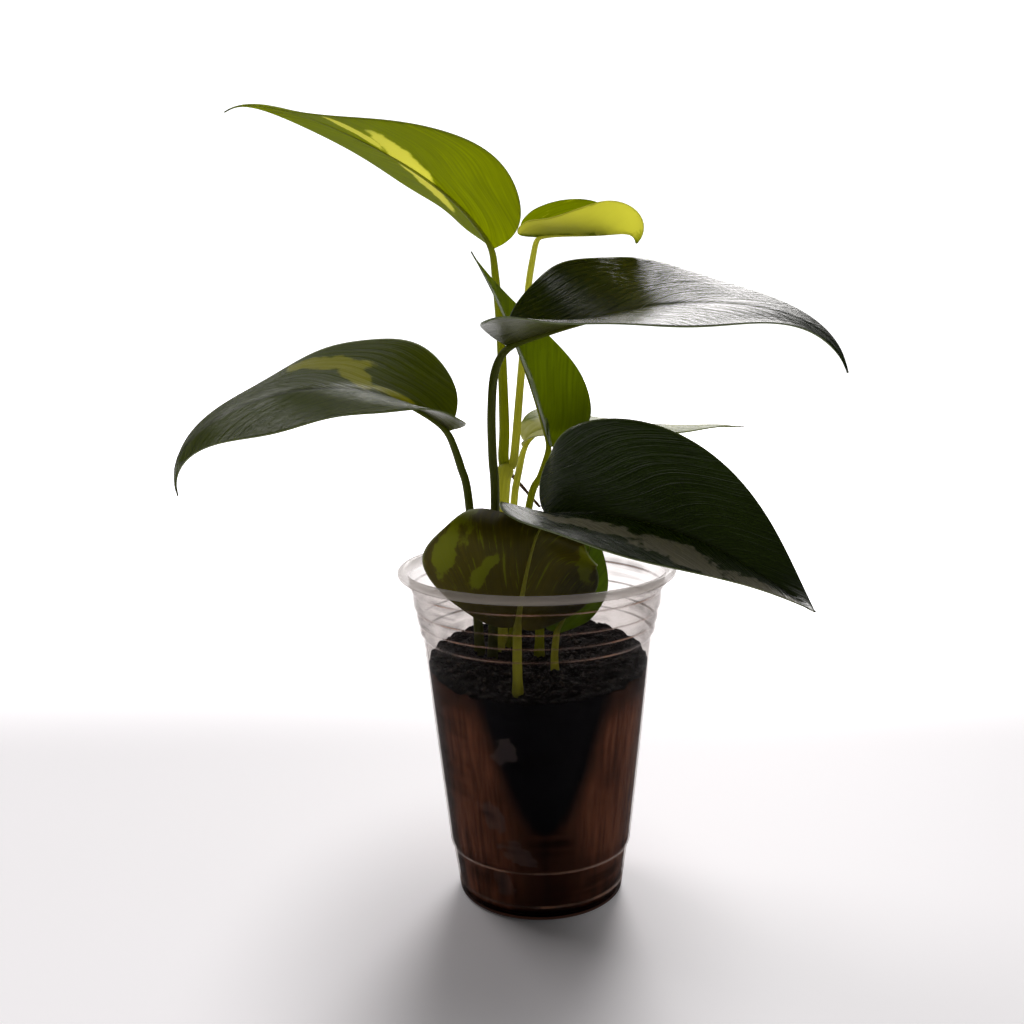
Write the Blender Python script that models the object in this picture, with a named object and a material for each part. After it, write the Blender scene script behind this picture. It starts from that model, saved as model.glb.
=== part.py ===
"""A golden pothos growing in a clear plastic drinking cup filled with dark potting soil.

Units are millimetres in the design values below and metres in the scene.
The origin is the middle of the cup's flat base, +Z is up and -Y is the side that faces the viewer.

A leaf blade is laid out flat first, heart shaped, and then bent:
its midrib follows a smooth curve, its upper face turns along the way,
and each half is folded up from the midrib and curled towards its margin.
"""
import math

import bmesh
import bpy
import numpy as np
from mathutils import Vector

MM = 0.001

# ---- cup ---------------------------------------------------------------------------------
CUP_HEIGHT = 116.0
RIM_RADIUS = 47.5
CUP_WALL = 0.8
CUP_SIDES = 40
CUP_SHARP_ANGLE = 50.0
# Outer side of the wall from the foot to just under the rim, as (radius, height).
CUP_OUTER = [
    (27.6, 0.0), (28.6, 0.8), (29.2, 5.0), (30.8, 16.5), (31.7, 18.5), (39.4, 92.5),
    (40.5, 94.2), (40.8, 97.2), (41.5, 98.8), (41.8, 101.8), (42.6, 103.6), (43.0, 108.6),
    (44.0, 110.4), (44.3, 112.6),
]
# The rolled lip, from under its outside round to the inside of the wall.
CUP_LIP = [(46.4, 112.7), (47.3, 113.5), (RIM_RADIUS, 114.5), (47.1, 115.5), (46.2, CUP_HEIGHT),
           (44.6, CUP_HEIGHT), (43.8, 115.3)]

# ---- soil --------------------------------------------------------------------------------
GAP = 0.35
SOIL_LEVEL = 83.0
SOIL_SLOPE = 0.125
SOIL_MOUND = 2.0
SOIL_MOUND_RADIUS = 36.0
# Ripples that make the surface uneven: height, waves along X and Y in radians per mm, and phase.
SOIL_LUMPS = [(0.35, 0.55, 0.48, 1.0), (0.35, 0.55, -0.48, 1.0), (0.4, -0.4, 0.9, 0.0)]
SOIL_FOOT_RADIUS = 26.0
SOIL_SIDES = 32
SOIL_RINGS = 6
SOIL_WALL_HEIGHTS = [5.0, 16.5, 18.5, 45.0, 70.0]
SOIL_SHARP_ANGLE = 60.0
ROOTING_DEPTH = 16.0
SOCKET_CLEARANCE = 0.8
SOCKET_SIDES = 12
SOCKET_RISE = 6.0

# ---- leaves ------------------------------------------------------------------------------
BLADE_THICKNESS = 0.7
BLADE_ROWS = 12
BLADE_COLUMNS = 8
BLADE_SHARP_ANGLE = 40.0
MIDRIB_SAMPLES = 80
# The rows that run out from the midrib start closer together at the stalk's end.
ROW_CROWDING = 1.3
# The least curl, in degrees, that the bend's formula takes.
LEAST_CURL = 0.01
# Half of a flat heart-shaped blade as a Bezier polygon, from the notch at the stalk round the
# lobe to the tip: x is a fraction of the midrib and y of the half width at the stalk's end.
# The first three points are scaled by the leaf's own lobe.
OUTLINE_LOBE = [(0.0, 0.0), (-2.2, 0.25), (-0.6, 1.15)]
OUTLINE_BLADE = [(0.40, 1.45), (0.62, 0.55), (0.80, 0.10), (1.0, 0.0)]

# Each leaf: midrib, widths of its right and left halves, lobe, the direction that the upper
# face looks at the base and at the tip, and for each half the fold at the base, the middle and
# the tip and the curl out to the margin, in degrees. Right is as seen from the stalk.
LEAVES = {
    "top_left": dict(
        midrib=[(-13, 25, 223), (-28, 17, 250), (-60, 17, 260), (-87, 4, 276.5), (-98.5, 0, 266.5)],
        widths=(32.5, 32.5), lobe=0.0, faces=[(0.54, 0.46, 0.21), (0.27, 0.12, 0.83)],
        right=(24, 12, -13, 8), left=(11, -6, -23, 8)),
    "top_small": dict(
        midrib=[(1.5, 26, 227), (14, 22, 229), (27, 15, 223), (34, 12, 231), (35.3, 10, 223)],
        widths=(13.7, 11.5), lobe=0.15, faces=[(-0.05, -0.40, 0.81), (0.2, -0.5, 0.8)],
        right=(50, 28, 104, 0), left=(66, 66, -70, 5),
        blade=[(0.40, 1.10), (0.75, 1.35), (0.86, 1.10), (1.0, 0.0)]),
    "right": dict(
        midrib=[(-9, -7, 191), (12, -21, 197), (42, -29, 209), (89, -33, 207.5), (93.5, -42, 182)],
        widths=(37.5, 37.5), lobe=0.01, faces=[(0, -0.37, 0.92), (0.15, -0.25, 0.84)],
        right=(42, -8, -3, 0), left=(36, -4, -8, 0)),
    "upright": dict(
        midrib=[(5.5, 6, 156), (4.5, 12, 157), (-1.5, 17, 187.5), (-20.5, 20, 222)],
        widths=(20, 16), lobe=0.08, faces=[(0.31, -0.44, 0.54), (0.57, -0.19, 0.35)],
        right=(53, 15, 1, 3), left=(56, 24, 24, 9)),
    "left": dict(
        midrib=[(-28, -4, 163), (-50, -18, 185), (-84, -19, 183.5), (-120, -29, 169),
                (-116, -20, 144.5)],
        widths=(35.5, 35.5), lobe=0.0, faces=[(0.03, -0.31, 0.94), (-0.21, -0.33, 0.81)],
        right=(44, -26, -8, 0), left=(30, -4, -27, 0)),
    "front_right": dict(
        midrib=[(3, -10, 135.5), (16, -27, 137.5), (50, -33, 145), (81, -41, 108.5),
                (80, -65, 115.5)],
        widths=(34.5, 34.5), lobe=0.05, faces=[(0.12, -0.62, 0.72), (0.41, -0.58, 0.58)],
        right=(41, 16, 8, 0), left=(54, 31, 10, 0)),
    "cup_front": dict(
        midrib=[(-6.5, -30, 102.5), (0, -31, 147.5), (6, -27, 132), (3, -13, 127)],
        widths=(38, 35), lobe=0.065, faces=[(-0.05, 0.41, 0.08), (-0.25, -0.2, -0.67)],
        right=(37, 11, -9, 17), left=(35, 4, -14, 0)),
    "back_right": dict(
        midrib=[(-3.5, 23, 153), (-5, 20, 166), (26, 33, 159.5), (77.5, 43, 158)],
        widths=(21, 21), lobe=-0.05, faces=[(0.09, 0, 0.93), (0.09, 0, 1)],
        right=(2, -9, -10, 0), left=(34, -20, 0, 0)),
    "cup_back": dict(
        midrib=[(6, -12, 96), (20, -12, 118), (19, -11, 138), (18, -8, 126)],
        widths=(13, 13), lobe=0.03, faces=[(-0.3, 0.42, 0.24), (0.15, 1.07, -0.07)],
        right=(0, 5, 10, 0), left=(10, 3, 10, 0)),
}

# ---- stalks ------------------------------------------------------------------------------
PETIOLE_SEAT = 1.0
STALK_POINTS = 12
STALK_BEVEL = 2
CURVE_STEPS = 16
NODE_POINT = (-9.5, 2.5, 151)
# Each leaf stalk: points from its foot up, without the last one, which is the leaf's base.
# A stalk that roots in the soil starts with its place there.
PETIOLES = {
    "top_left": dict(foot=None, through=[(-10.7, 4.5, 153), (-10.3, 8.5, 164), (-11.4, 23, 195)],
                     radii=(1.9, 1.3)),
    "top_small": dict(foot=None, through=[(-6.9, 4.6, 153.5), (-5, 15, 173), (-3, 26, 193),
                                          (-1.2, 28, 211)], radii=(1.5, 1.1)),
    "right": dict(foot=(-15.5, -4.5), through=[(-13.6, -3.5, 137.5), (-14.1, -4, 154),
                                               (-14.1, -4.5, 169), (-12.6, -6, 183)],
                  radii=(1.7, 1.4)),
    "upright": dict(foot=(-9.3, 5.8), through=[(-2.3, 4.2, 135), (2, 4.5, 146)], radii=(1.6, 1.2)),
    "left": dict(foot=(-20, 0), through=[(-22.3, -3, 137), (-25, -3.5, 151)], radii=(1.7, 1.3)),
    "front_right": dict(foot=(0.5, -3), through=[(1.5, -8, 112), (2.6, -9.5, 127)],
                        radii=(1.7, 1.3)),
    "cup_front": dict(foot=(-6.6, -30), through=[(-6.6, -31, 92)], radii=(1.7, 1.4)),
    "back_right": dict(foot=(-12.3, 10.6), through=[(-7.6, 9.5, 134.5), (-6.4, 11, 143)],
                       radii=(1.5, 1.2)),
    "cup_back": dict(foot=(5.7, -14), through=[(5.6, -14.2, 88)], radii=(1.4, 1.1)),
}
VINE_STEM = dict(foot=(-13.6, 2.6), through=[(-11.4, 2.2, 138)], radii=(2.3, 2.6))
AERIAL_ROOT = dict(foot=None, radii=(0.8, 0.6),
                   through=[(-8.9, 6, 149.5), (-8.8, 10.5, 147.5), (-7.8, 14.5, 144.5),
                            (-5.5, 17, 141.5), (-2.5, 19, 137.5), (1.5, 20.2, 132.5)])

# ---- colours: base colour, roughness, metallic -------------------------------------------
CLEAR_PLASTIC = ((0.86, 0.86, 0.87), 0.15, 0.0)
POTTING_SOIL = ((0.020, 0.016, 0.014), 0.95, 0.0)
DARK_LEAF = ((0.035, 0.075, 0.015), 0.35, 0.0)
YOUNG_LEAF = ((0.30, 0.42, 0.03), 0.40, 0.0)
GREEN_STALK = ((0.20, 0.27, 0.05), 0.45, 0.0)
BROWN_ROOT = ((0.10, 0.045, 0.02), 0.80, 0.0)
YOUNG_LEAVES = ("top_left", "top_small", "cup_back")

# ---- mesh tolerances ---------------------------------------------------------------------
BLADE_MERGE = 0.05
PROFILE_MERGE = 0.01
PICK = 0.1


def make_material(name, finish):
    """One Principled finish from its colour, roughness and metallic value."""
    colour, roughness, metallic = finish
    material = bpy.data.materials.new(name)
    material.use_nodes = True
    shader = material.node_tree.nodes["Principled BSDF"]
    shader.inputs["Base Color"].default_value = (*colour, 1.0)
    shader.inputs["Roughness"].default_value = roughness
    shader.inputs["Metallic"].default_value = metallic
    return material


def add_object(name, data, material):
    """Put a mesh or a curve into the scene under its part's name."""
    part = bpy.data.objects.new(name, data)
    data.materials.append(material)
    bpy.context.scene.collection.objects.link(part)
    return part


def finish_mesh(bm, name, sharp_angle):
    """Turn a bmesh into a smooth mesh whose edges are sharp past an angle in degrees."""
    mesh = bpy.data.meshes.new(name)
    bm.to_mesh(mesh)
    bm.free()
    mesh.shade_smooth()
    mesh.set_sharp_from_angle(angle=math.radians(sharp_angle))
    return mesh


# ---- curves ------------------------------------------------------------------------------
def bezier(points, t):
    """The point at t of the Bezier curve that the points span."""
    level = [np.array(point, dtype=float) for point in points]
    while len(level) > 1:
        level = [a + (b - a) * t for a, b in zip(level, level[1:])]
    return level[0]


def smooth_path(points, count):
    """Points spread evenly along a Catmull-Rom curve through the given ones."""
    knots = [np.array(point, dtype=float) for point in points]
    knots = [2 * knots[0] - knots[1]] + knots + [2 * knots[-1] - knots[-2]]
    fine = []
    for a, b, c, d in zip(knots, knots[1:], knots[2:], knots[3:]):
        for t in np.linspace(0.0, 1.0, CURVE_STEPS, endpoint=False):
            fine.append(0.5 * (2 * b + (c - a) * t + (2 * a - 5 * b + 4 * c - d) * t ** 2
                               + (3 * b - a - 3 * c + d) * t ** 3))
    fine = np.array(fine + [knots[-2]])
    along = np.concatenate([[0.0], np.cumsum(np.linalg.norm(np.diff(fine, axis=0), axis=1))])
    stations = np.linspace(0.0, along[-1], count)
    return [np.array([np.interp(s, along, fine[:, k]) for k in range(3)]) for s in stations]


# ---- leaf blade --------------------------------------------------------------------------
class BentBlade:
    """A flat half-leaf layout and the bend that gives the blade its shape in space."""

    def __init__(self, leaf):
        self.leaf = leaf
        self.points = np.array([bezier(leaf["midrib"], t)
                                for t in np.linspace(0, 1, MIDRIB_SAMPLES)])
        steps = np.linalg.norm(np.diff(self.points, axis=0), axis=1)
        self.along = np.concatenate([[0.0], np.cumsum(steps)])
        self.length = self.along[-1]
        tangents = np.gradient(self.points, axis=0)
        self.tangents = tangents / np.linalg.norm(tangents, axis=1)[:, None]

    def margin(self, u):
        """The flat margin at u: along the midrib as a fraction, and across as a fraction."""
        lobe = self.leaf["lobe"]
        hull = [(x * lobe, y) for x, y in OUTLINE_LOBE]
        return bezier(hull + self.leaf.get("blade", OUTLINE_BLADE), u)

    def flat_point(self, u, v):
        """Row u from notch to tip, column v from the midrib (0) to the margin (1)."""
        edge = self.margin(u)
        rib = u ** ROW_CROWDING
        return rib + (edge[0] - rib) * v, edge[1] * v

    def place(self, u, v, side):
        """The point in space of row u and column v on the right (+1) or left (-1) half."""
        x, across = self.flat_point(u, v)
        distance = x * self.length
        held = min(max(distance, 0.0), self.length)
        base = np.array([np.interp(held, self.along, self.points[:, k]) for k in range(3)])
        ahead = np.array([np.interp(held, self.along, self.tangents[:, k]) for k in range(3)])
        ahead /= np.linalg.norm(ahead)
        base = base + ahead * (distance - held)
        s = held / self.length
        face_base, face_tip = (np.array(face, dtype=float) for face in self.leaf["faces"])
        face = face_base * (1 - s) + face_tip * s
        face -= ahead * face.dot(ahead)
        face /= np.linalg.norm(face)
        sideways = np.cross(ahead, face) * side
        fold_base, fold_middle, fold_tip, curl = self.leaf["right" if side > 0 else "left"]
        fold = math.radians(fold_base * (1 - s) ** 2 + 2 * fold_middle * s * (1 - s)
                            + fold_tip * s ** 2)
        half_width = self.leaf["widths"][0 if side > 0 else 1]
        bend = math.radians(curl or LEAST_CURL) / half_width
        width = across * half_width
        out = (math.sin(fold + bend * width) - math.sin(fold)) / bend
        up = (math.cos(fold) - math.cos(fold + bend * width)) / bend
        return base + sideways * out + face * up


def make_blade(name, leaf, material):
    """A grid laid over the blade, bent into place and given its thickness."""
    blade = BentBlade(leaf)
    bm = bmesh.new()
    bmesh.ops.create_grid(bm, x_segments=BLADE_COLUMNS, y_segments=BLADE_ROWS, size=1.0)
    for vert in bm.verts:
        side = 1 if vert.co.x >= 0 else -1
        vert.co = Vector(blade.place((vert.co.y + 1) / 2, abs(vert.co.x), side)) * MM
    bmesh.ops.remove_doubles(bm, verts=bm.verts, dist=BLADE_MERGE * MM)
    bmesh.ops.recalc_face_normals(bm, faces=bm.faces)
    part = add_object(name, finish_mesh(bm, name, BLADE_SHARP_ANGLE), material)
    thickness = part.modifiers.new("thickness", "SOLIDIFY")
    thickness.thickness = BLADE_THICKNESS * MM
    thickness.offset = 0.0
    return part


# ---- stalks ------------------------------------------------------------------------------
def soil_height(x, y):
    """Height of the soil's surface: it slopes up to the back and is a little mounded."""
    mound = SOIL_MOUND * (1 - (x * x + y * y) / SOIL_MOUND_RADIUS ** 2)
    lumps = sum(height * math.sin(along_x * x + along_y * y + phase)
                for height, along_x, along_y, phase in SOIL_LUMPS)
    return SOIL_LEVEL + SOIL_SLOPE * y + mound + lumps


def stalk_points(stalk, end):
    """The stalk's route: straight up out of the soil, then through its own points."""
    route = []
    if stalk["foot"]:
        x, y = stalk["foot"]
        level = soil_height(x, y)
        route = [(x, y, level - ROOTING_DEPTH), (x, y, level - ROOTING_DEPTH / 2), (x, y, level)]
    route += stalk["through"]
    if end is not None:
        route.append(end)
    return route


def make_stalk(name, stalk, end, material):
    """A tapered tube along a smooth path."""
    path = smooth_path(stalk_points(stalk, end), STALK_POINTS)
    curve = bpy.data.curves.new(name, "CURVE")
    curve.dimensions = "3D"
    curve.bevel_depth = MM
    curve.bevel_resolution = STALK_BEVEL
    curve.use_fill_caps = True
    spline = curve.splines.new("POLY")
    spline.points.add(len(path) - 1)
    thick, thin = stalk["radii"]
    for i, point in enumerate(path):
        spline.points[i].co = (*(point * MM), 1.0)
        spline.points[i].radius = thick + (thin - thick) * i / (len(path) - 1)
    return add_object(name, curve, material)


def petiole_end(stalk, leaf):
    """Where a leaf stalk stops, just short of the blade that it carries."""
    base = np.array(leaf["midrib"][0], dtype=float)
    last = np.array(stalk["through"][-1], dtype=float)
    direction = (base - last) / np.linalg.norm(base - last)
    return tuple(base - direction * PETIOLE_SEAT)


# ---- cup and soil ------------------------------------------------------------------------
def turn_profile(profile, sides):
    """Spin a profile of (radius, height) points, in millimetres, once round the Z axis."""
    bm = bmesh.new()
    verts = [bm.verts.new((radius * MM, 0.0, height * MM)) for radius, height in profile]
    edges = [bm.edges.new(pair) for pair in zip(verts, verts[1:])]
    bmesh.ops.spin(bm, geom=verts + edges, cent=(0, 0, 0), axis=(0, 0, 1), angle=math.tau,
                   steps=sides, use_merge=True, use_duplicate=False)
    bmesh.ops.remove_doubles(bm, verts=bm.verts, dist=PROFILE_MERGE * MM)
    bmesh.ops.recalc_face_normals(bm, faces=bm.faces)
    return bm


def make_cup(material):
    """The thin-walled cup with its stacking steps and rolled lip."""
    inner = [(radius - CUP_WALL, height) for radius, height in reversed(CUP_OUTER[2:])]
    floor = [(CUP_OUTER[1][0] - CUP_WALL, 2 * CUP_WALL), (CUP_OUTER[0][0] - CUP_WALL, CUP_WALL)]
    profile = [(0.0, 0.0)] + CUP_OUTER + CUP_LIP + inner + floor + [(0.0, CUP_WALL)]
    bm = turn_profile(profile, CUP_SIDES)
    return add_object("cup", finish_mesh(bm, "cup", CUP_SHARP_ANGLE), material)


def cup_inner_radius(height):
    """Radius of the cup's inside at a height, in millimetres."""
    heights = [point[1] for point in CUP_OUTER]
    radii = [point[0] - CUP_WALL for point in CUP_OUTER]
    return float(np.interp(height, heights, radii))


def make_soil(material, sockets):
    """The plug of soil: it fills the cup's inside, with a hole for each rooted stalk."""
    chord = math.cos(math.pi / CUP_SIDES)
    bottom = CUP_WALL + GAP
    low = [(0.0, bottom), (SOIL_FOOT_RADIUS, bottom)]
    wall = [(cup_inner_radius(height) * chord - GAP, height) for height in SOIL_WALL_HEIGHTS]
    top_radius = cup_inner_radius(SOIL_LEVEL) * chord - GAP
    rings = [(top_radius * (1 - k / SOIL_RINGS), SOIL_LEVEL) for k in range(SOIL_RINGS + 1)]
    bm = turn_profile(low + wall + rings, SOIL_SIDES)
    for vert in bm.verts:
        if vert.co.z > (SOIL_LEVEL - PICK) * MM:
            radius = math.hypot(vert.co.x, vert.co.y) / MM
            height = soil_height(vert.co.x / MM, vert.co.y / MM)
            if radius > top_radius - PICK:
                spread = (cup_inner_radius(height) * chord - GAP) / radius
                vert.co.x *= spread
                vert.co.y *= spread
            vert.co.z = height * MM
    part = add_object("soil", finish_mesh(bm, "soil", SOIL_SHARP_ANGLE), material)
    for socket in sockets:
        cut = part.modifiers.new(socket.name, "BOOLEAN")
        cut.operation = "DIFFERENCE"
        cut.solver = "EXACT"
        cut.object = socket
    return part


def make_socket(name, stalk):
    """The cutter for the hole that a rooted stalk stands in."""
    x, y = stalk["foot"]
    level = soil_height(x, y)
    low = level - ROOTING_DEPTH - GAP
    high = level + SOCKET_RISE
    radius = max(stalk["radii"]) + SOCKET_CLEARANCE
    bm = bmesh.new()
    bmesh.ops.create_cone(bm, cap_ends=True, segments=SOCKET_SIDES, radius1=radius * MM,
                          radius2=radius * MM, depth=(high - low) * MM)
    bmesh.ops.translate(bm, verts=bm.verts, vec=Vector((x, y, (high + low) / 2)) * MM)
    mesh = bpy.data.meshes.new(name)
    bm.to_mesh(mesh)
    bm.free()
    cutter = bpy.data.objects.new(name, mesh)
    cutter.hide_render = True
    cutter.display_type = "WIRE"
    bpy.context.scene.collection.objects.link(cutter)
    return cutter


def main():
    """Build the whole plant in its cup."""
    for old in list(bpy.data.objects):
        bpy.data.objects.remove(old, do_unlink=True)
    young = make_material("young leaf", YOUNG_LEAF)
    dark = make_material("dark leaf", DARK_LEAF)
    green = make_material("green stalk", GREEN_STALK)

    for name, leaf in LEAVES.items():
        make_blade("leaf_" + name, leaf, young if name in YOUNG_LEAVES else dark)
        stalk = PETIOLES[name]
        make_stalk("petiole_" + name, stalk, petiole_end(stalk, leaf), green)
    make_stalk("vine_stem", VINE_STEM, NODE_POINT, green)
    make_stalk("aerial_root", AERIAL_ROOT, None, make_material("brown root", BROWN_ROOT))

    rooted = [("vine_stem", VINE_STEM)]
    rooted += [(name, stalk) for name, stalk in PETIOLES.items() if stalk["foot"]]
    sockets = [make_socket("socket_" + name, stalk) for name, stalk in rooted]
    make_soil(make_material("potting soil", POTTING_SOIL), sockets)
    make_cup(make_material("clear plastic", CLEAR_PLASTIC))


main()
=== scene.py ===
# %% [markdown]
# # A golden pothos in a clear plastic cup
#
# The real object is a young climbing plant: nine heart-shaped blades on fleshy stalks, rooted in
# black potting soil in a thin drinking cup. The frame gives the plain solids of the design.
# Here each of them is replaced by a finely modelled piece in the same place.
# Lengths in the design values are millimetres. The scene is in metres.

# %% Load the frame
import math
import random

import bmesh
import bpy
import numpy as np
from mathutils import Matrix, Vector


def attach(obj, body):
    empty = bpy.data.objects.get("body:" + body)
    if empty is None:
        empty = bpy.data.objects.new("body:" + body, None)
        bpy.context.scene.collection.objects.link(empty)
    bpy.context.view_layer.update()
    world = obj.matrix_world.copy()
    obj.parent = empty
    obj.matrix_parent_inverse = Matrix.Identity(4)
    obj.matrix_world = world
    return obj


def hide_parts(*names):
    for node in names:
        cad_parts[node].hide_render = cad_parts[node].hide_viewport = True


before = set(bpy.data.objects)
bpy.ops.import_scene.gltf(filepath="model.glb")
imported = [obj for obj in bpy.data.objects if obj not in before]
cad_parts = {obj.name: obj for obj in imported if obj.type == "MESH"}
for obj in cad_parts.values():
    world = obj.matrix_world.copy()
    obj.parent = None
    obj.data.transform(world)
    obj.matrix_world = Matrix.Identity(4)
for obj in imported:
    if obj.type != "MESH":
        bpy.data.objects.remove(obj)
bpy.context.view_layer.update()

MM = 0.001
BODY = "root"
print("nodes in the frame:", len(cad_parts))

# %% [markdown]
# ## Camera, floor and light
#
# The plant is seen from a little above, at arm's length, and nearly all its light comes from behind:
# thin leaves glow with it, and glossy leaves mirror it wherever they turn towards a lamp. The sky is
# therefore a dim room with three soft-edged lamps drawn on it, each by its bearing and its height.
# That is simpler than lamp objects, and a lamp can be moved until its gleam lies on the right
# stretch of a leaf. Looked at directly, the sky is white paper all round. The floor is pale. It
# glows a little everywhere but in front of the cup, and fully at the back, as a white sheet that is
# curved up behind an object does.

# %% Camera
CAMERA_PLACE = Vector((0.0, -0.400, 0.203))
CAMERA_DOWN = math.radians(9.75)
CAMERA_PAN = math.radians(-1.15)
CAMERA_ROLL = math.radians(-1.05)
FOCAL_LENGTH = 42.05
SENSOR = 36.0


def aim_camera():
    """Place the camera from its pan, its angle below the horizon and its roll."""
    ahead = Vector((math.sin(CAMERA_PAN) * math.cos(CAMERA_DOWN),
                    math.cos(CAMERA_PAN) * math.cos(CAMERA_DOWN), -math.sin(CAMERA_DOWN)))
    right = ahead.cross(Vector((0, 0, 1))).normalized()
    up = right.cross(ahead)
    across = right * math.cos(CAMERA_ROLL) + up * math.sin(CAMERA_ROLL)
    upward = up * math.cos(CAMERA_ROLL) - right * math.sin(CAMERA_ROLL)
    turn = Matrix((across, upward, -ahead)).transposed().to_4x4()
    data = bpy.data.cameras.new("camera")
    data.lens = FOCAL_LENGTH
    data.sensor_width = SENSOR
    data.clip_start = 0.01
    camera = bpy.data.objects.new("camera", data)
    camera.matrix_world = Matrix.Translation(CAMERA_PLACE) @ turn
    bpy.context.scene.collection.objects.link(camera)
    bpy.context.scene.camera = camera


aim_camera()
bpy.context.scene.view_settings.view_transform = "Standard"
print("camera at", [round(value, 3) for value in CAMERA_PLACE])

# %% [markdown]
# Materials are wired from nodes, and small helpers keep the wiring short. The first places a node and
# fills its sockets. The others are the steps that come up again and again: arithmetic, a smooth step
# between two levels, two colours blended by a mask, and noise.

# %% Node helpers
def add_node(tree, kind, inputs=None, **settings):
    """Place a shader node; inputs are values or other nodes' sockets, by name or by number."""
    made = tree.nodes.new("ShaderNode" + kind)
    for name, value in settings.items():
        setattr(made, name, value)
    for key, value in (inputs or {}).items():
        if isinstance(value, bpy.types.NodeSocket):
            tree.links.new(value, made.inputs[key])
        else:
            made.inputs[key].default_value = value
    return made


def maths(tree, operation, *values):
    """The result of one Math node."""
    return add_node(tree, "Math", dict(enumerate(values)), operation=operation).outputs[0]


def times(tree, first, second):
    """The product of two values."""
    return maths(tree, "MULTIPLY", first, second)


def remap(tree, value, low, high, to_low=0.0, to_high=1.0):
    """A smooth step of a value between two levels."""
    made = add_node(tree, "MapRange",
                    {"Value": value, "From Min": low, "From Max": high,
                     "To Min": to_low, "To Max": to_high}, interpolation_type="SMOOTHSTEP")
    return made.outputs["Result"]


def blend(tree, mask, first, second):
    """Two colours blended by a mask."""
    made = add_node(tree, "Mix", data_type="RGBA")
    for socket, value in ((made.inputs[0], mask), (made.inputs[6], first), (made.inputs[7], second)):
        if isinstance(value, bpy.types.NodeSocket):
            tree.links.new(value, socket)
        elif socket is made.inputs[0]:
            socket.default_value = value
        else:
            socket.default_value = (*value, 1.0)
    return made.outputs[2]


def axes(tree, vector):
    """The X, Y and Z of a vector, as sockets."""
    return add_node(tree, "SeparateXYZ", {0: vector}).outputs


def vector_maths(tree, operation, *values):
    """One Vector Math node, which puts out a vector or a value."""
    return add_node(tree, "VectorMath", dict(enumerate(values)), operation=operation)


def object_place(tree):
    """A piece's own coordinates. Every piece has its origin at the middle of the cup's foot."""
    return add_node(tree, "TexCoord").outputs["Object"]


def noise(tree, vector, scale, detail=2.0, roughness=0.5):
    """The value of a noise texture."""
    made = add_node(tree, "TexNoise", {"Vector": vector, "Scale": scale, "Detail": detail,
                                       "Roughness": roughness})
    return made.outputs["Fac"]


print("node helpers ready")

# %% [markdown]
# An effect that several materials share is a node group: it is wired once, and each material fills
# its inputs with its own values. A material itself starts empty and ends with one shader, which can
# be two shaders mixed.

# %% Helpers for groups and materials
def new_group(name, inputs, outputs):
    """An empty node group with its named sockets, and the nodes at its two ends."""
    group = bpy.data.node_groups.new(name, "ShaderNodeTree")
    for label, kind, value in inputs:
        socket = group.interface.new_socket(label, in_out="INPUT", socket_type="NodeSocket" + kind)
        if value is not None:
            socket.default_value = value
    for label, kind in outputs:
        group.interface.new_socket(label, in_out="OUTPUT", socket_type="NodeSocket" + kind)
    return group, group.nodes.new("NodeGroupInput"), group.nodes.new("NodeGroupOutput")


def use_group(tree, group, **inputs):
    """Place a node group in a material; underscores in the input names stand for spaces."""
    made = tree.nodes.new("ShaderNodeGroup")
    made.node_tree = group
    for name, value in inputs.items():
        socket = made.inputs[name.replace("_", " ")]
        if isinstance(value, bpy.types.NodeSocket):
            tree.links.new(value, socket)
        else:
            socket.default_value = value
    return made.outputs


def empty_material(name):
    """A material with nothing in it yet."""
    material = bpy.data.materials.new(name)
    material.use_nodes = True
    material.node_tree.nodes.clear()
    return material, material.node_tree


def finish_material(tree, shader):
    """Show a shader on the surface."""
    add_node(tree, "OutputMaterial", {"Surface": shader.outputs[0]})


def mix_shaders(tree, share, first, second):
    """Two shaders mixed; the share is the second one's."""
    return add_node(tree, "MixShader", {0: share, 1: first.outputs[0], 2: second.outputs[0]})


def skin_shader(tree, colour, roughness, normal, shine=0.5):
    """A plain surface shader with the four settings that every finish here has."""
    return add_node(tree, "BsdfPrincipled", {"Base Color": colour, "Roughness": roughness,
                                             "Normal": normal, "Specular IOR Level": shine})


def bumps(tree, strength, distance, height):
    """The normal of a surface with small heights."""
    return add_node(tree, "Bump", {"Strength": strength, "Distance": distance,
                                   "Height": height}).outputs[0]


print("material helpers ready")

# %% Light from the back
PAPER_LIGHT = 1.4
ROOM_LIGHT = 0.05
# Each lamp: its light, the bearings it spans and the sines of the heights it spans. Bearings are in
# degrees clockwise from straight behind the plant. Each span is where it starts, is full, is still
# full and ends.
LAMPS = {
    "backdrop": (0.32, (-95, -65, 38, 62), (-0.10, 0.0, 0.74, 0.84)),
    "main": (7.8, (-7, 3, 13, 27), (0.10, 0.38, 0.75, 0.83)),
    "side": (5.5, (-72, -60, -34, -26), (0.54, 0.64, 0.74, 0.82)),
}


def span(tree, value, start, full, still_full, end):
    """One inside a span of a value, with soft ends."""
    return times(tree, remap(tree, value, start, full), remap(tree, value, end, still_full))


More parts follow.
